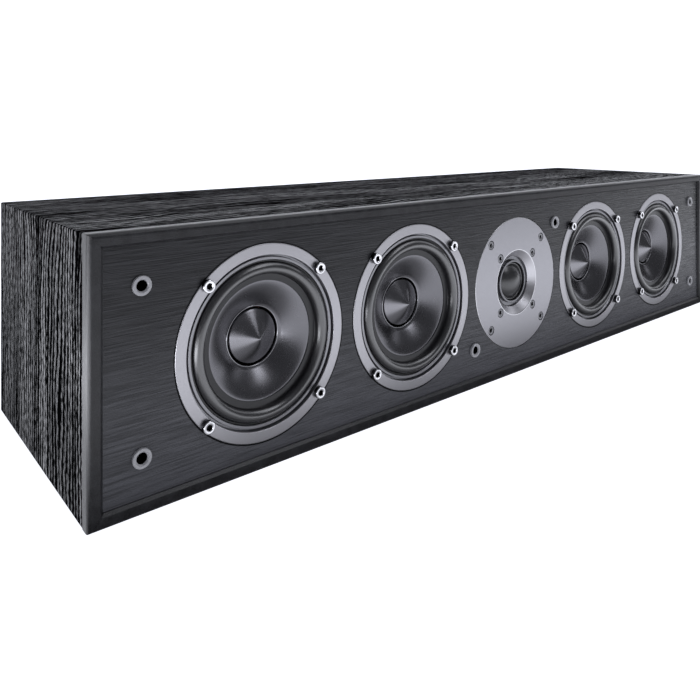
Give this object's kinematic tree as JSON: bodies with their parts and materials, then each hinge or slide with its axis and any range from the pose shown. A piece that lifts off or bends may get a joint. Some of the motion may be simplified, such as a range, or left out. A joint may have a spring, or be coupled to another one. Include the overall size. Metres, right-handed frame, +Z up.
{
  "type": "center channel speaker",
  "caption": "Low, wide center channel loudspeaker: black wood-grain cabinet, brushed front with cone woofers beside a dome tweeter, reflex ports and binding posts at the back.",
  "frame": {"origin": "middle of the footprint's box, on the flat bottom face", "axes": "+X to the right seen from the front, -Y out of the front, +Z up"},
  "size_m": [0.667, 0.1746, 0.14],
  "materials": {
    "ash_wrap": "black ash vinyl wrap with open grain, satin",
    "rim_satin": "smooth satin black foil",
    "brushed_face": "dark grey face with a fine horizontal brushed finish, satin",
    "back_board": "black painted board, matt",
    "raw_board": "raw fibreboard",
    "port_plastic": "moulded black plastic, fine texture",
    "wadding": "white polyester wadding",
    "ring_metal": "satin light grey metal",
    "surround_rubber": "black rubber, soft sheen",
    "cone_paper": "coated black paper, satin",
    "coil_copper": "enamelled copper wire",
    "spider_cloth": "resin-dipped woven cloth",
    "plug_gloss": "gloss black plastic",
    "basket_paint": "dark grey painted steel",
    "motor_steel": "zinc-plated steel",
    "magnet_ferrite": "sintered ferrite, matt",
    "screw_black": "black oxide steel, satin",
    "plate_metal": "satin mid grey metal",
    "dome_ring_metal": "satin grey metal",
    "dome_gloss": "coated black dome cloth, glossy",
    "socket_plastic": "grey-black moulded plastic",
    "post_gold": "gold-plated brass",
    "collar_plastic": "dark moulded plastic",
    "knob_red": "red moulded plastic",
    "knob_black": "black moulded plastic",
    "board_resin": "brown circuit board",
    "cap_film": "blue film capacitor",
    "resistor_ceramic": "white ceramic",
    "spacer_nylon": "white nylon"
  },
  "bodies": {
    "enclosure": {"cabinet": "ash_wrap", "rim": "rim_satin", "baffle": "brushed_face", "back_panel": "back_board", "braces": "raw_board", "port_tubes": "port_plastic", "wadding": "wadding", "trim_ring_1": "ring_metal", "trim_ring_2": "ring_metal", "trim_ring_3": "ring_metal", "trim_ring_4": "ring_metal", "surround_1": "surround_rubber", "surround_2": "surround_rubber", "surround_3": "surround_rubber", "surround_4": "surround_rubber", "spider_1": "spider_cloth", "spider_2": "spider_cloth", "spider_3": "spider_cloth", "spider_4": "spider_cloth", "phase_plug_1": "plug_gloss", "phase_plug_2": "plug_gloss", "phase_plug_3": "plug_gloss", "phase_plug_4": "plug_gloss", "baskets": "basket_paint", "top_plates": "motor_steel", "magnets": "magnet_ferrite", "yokes": "motor_steel", "woofer_screws": "screw_black", "tweeter_plate": "plate_metal", "tweeter_ring": "dome_ring_metal", "tweeter_surround": "dome_gloss", "tweeter_screws": "screw_black", "grille_sockets": "socket_plastic", "terminal_cup": "port_plastic", "cup_screws": "screw_black", "post_studs": "post_gold", "post_collars": "collar_plastic", "post_nuts": "motor_steel", "crossover_board": "board_resin", "crossover_coils": "coil_copper", "crossover_capacitors": "cap_film", "crossover_resistors": "resistor_ceramic", "board_spacers": "spacer_nylon"},
    "cone_body_1": {"cone_1": "cone_paper", "voice_coil_1": "coil_copper"},
    "cone_body_2": {"cone_2": "cone_paper", "voice_coil_2": "coil_copper"},
    "cone_body_3": {"cone_3": "cone_paper", "voice_coil_3": "coil_copper"},
    "cone_body_4": {"cone_4": "cone_paper", "voice_coil_4": "coil_copper"},
    "dome_body": {"tweeter_dome": "dome_gloss", "tweeter_coil": "coil_copper"},
    "washer_body_plus": {"washer_plus": "post_gold"},
    "knob_body_plus": {"knob_plus": "knob_red", "insert_plus": "post_gold"},
    "washer_body_minus": {"washer_minus": "post_gold"},
    "knob_body_minus": {"knob_minus": "knob_black", "insert_minus": "post_gold"}
  },
  "joints": [
    {"name": "cone_1_travel", "type": "slide", "parent": "enclosure", "child": "cone_body_1", "axis": [0, -1, 0], "range_m": [-0.003, 0.003], "stiffness_N_per_m": 1000, "deforming": ["surround_1", "spider_1"]},
    {"name": "cone_2_travel", "type": "slide", "parent": "enclosure", "child": "cone_body_2", "axis": [0, -1, 0], "range_m": [-0.003, 0.003], "stiffness_N_per_m": 1000, "deforming": ["surround_2", "spider_2"]},
    {"name": "cone_3_travel", "type": "slide", "parent": "enclosure", "child": "cone_body_3", "axis": [0, -1, 0], "range_m": [-0.003, 0.003], "stiffness_N_per_m": 1000, "deforming": ["surround_3", "spider_3"]},
    {"name": "cone_4_travel", "type": "slide", "parent": "enclosure", "child": "cone_body_4", "axis": [0, -1, 0], "range_m": [-0.003, 0.003], "stiffness_N_per_m": 1000, "deforming": ["surround_4", "spider_4"]},
    {"name": "dome_travel", "type": "slide", "parent": "enclosure", "child": "dome_body", "axis": [0, -1, 0], "range_m": [-0.0003, 0.0003], "stiffness_N_per_m": 1000, "deforming": ["tweeter_surround"]},
    {"name": "knob_plus_lift", "type": "slide", "parent": "enclosure", "child": "washer_body_plus", "axis": [0, 1, 0], "range_m": [0, 0.005]},
    {"name": "knob_plus_turn", "type": "hinge", "parent": "washer_body_plus", "child": "knob_body_plus", "pos_m": [-0.0095, 0.07725, 0.07], "axis": [0, 1, 0], "range_deg": [0, 1800]},
    {"name": "knob_minus_lift", "type": "slide", "parent": "enclosure", "child": "washer_body_minus", "axis": [0, 1, 0], "range_m": [0, 0.005]},
    {"name": "knob_minus_turn", "type": "hinge", "parent": "washer_body_minus", "child": "knob_body_minus", "pos_m": [0.0095, 0.07725, 0.07], "axis": [0, 1, 0], "range_deg": [0, 1800]}
  ],
  "couplings": [
    {"joint": "knob_plus_turn", "follows": "knob_plus_lift", "rad_per_m": 6283.2},
    {"joint": "knob_minus_turn", "follows": "knob_minus_lift", "rad_per_m": 6283.2}
  ]
}
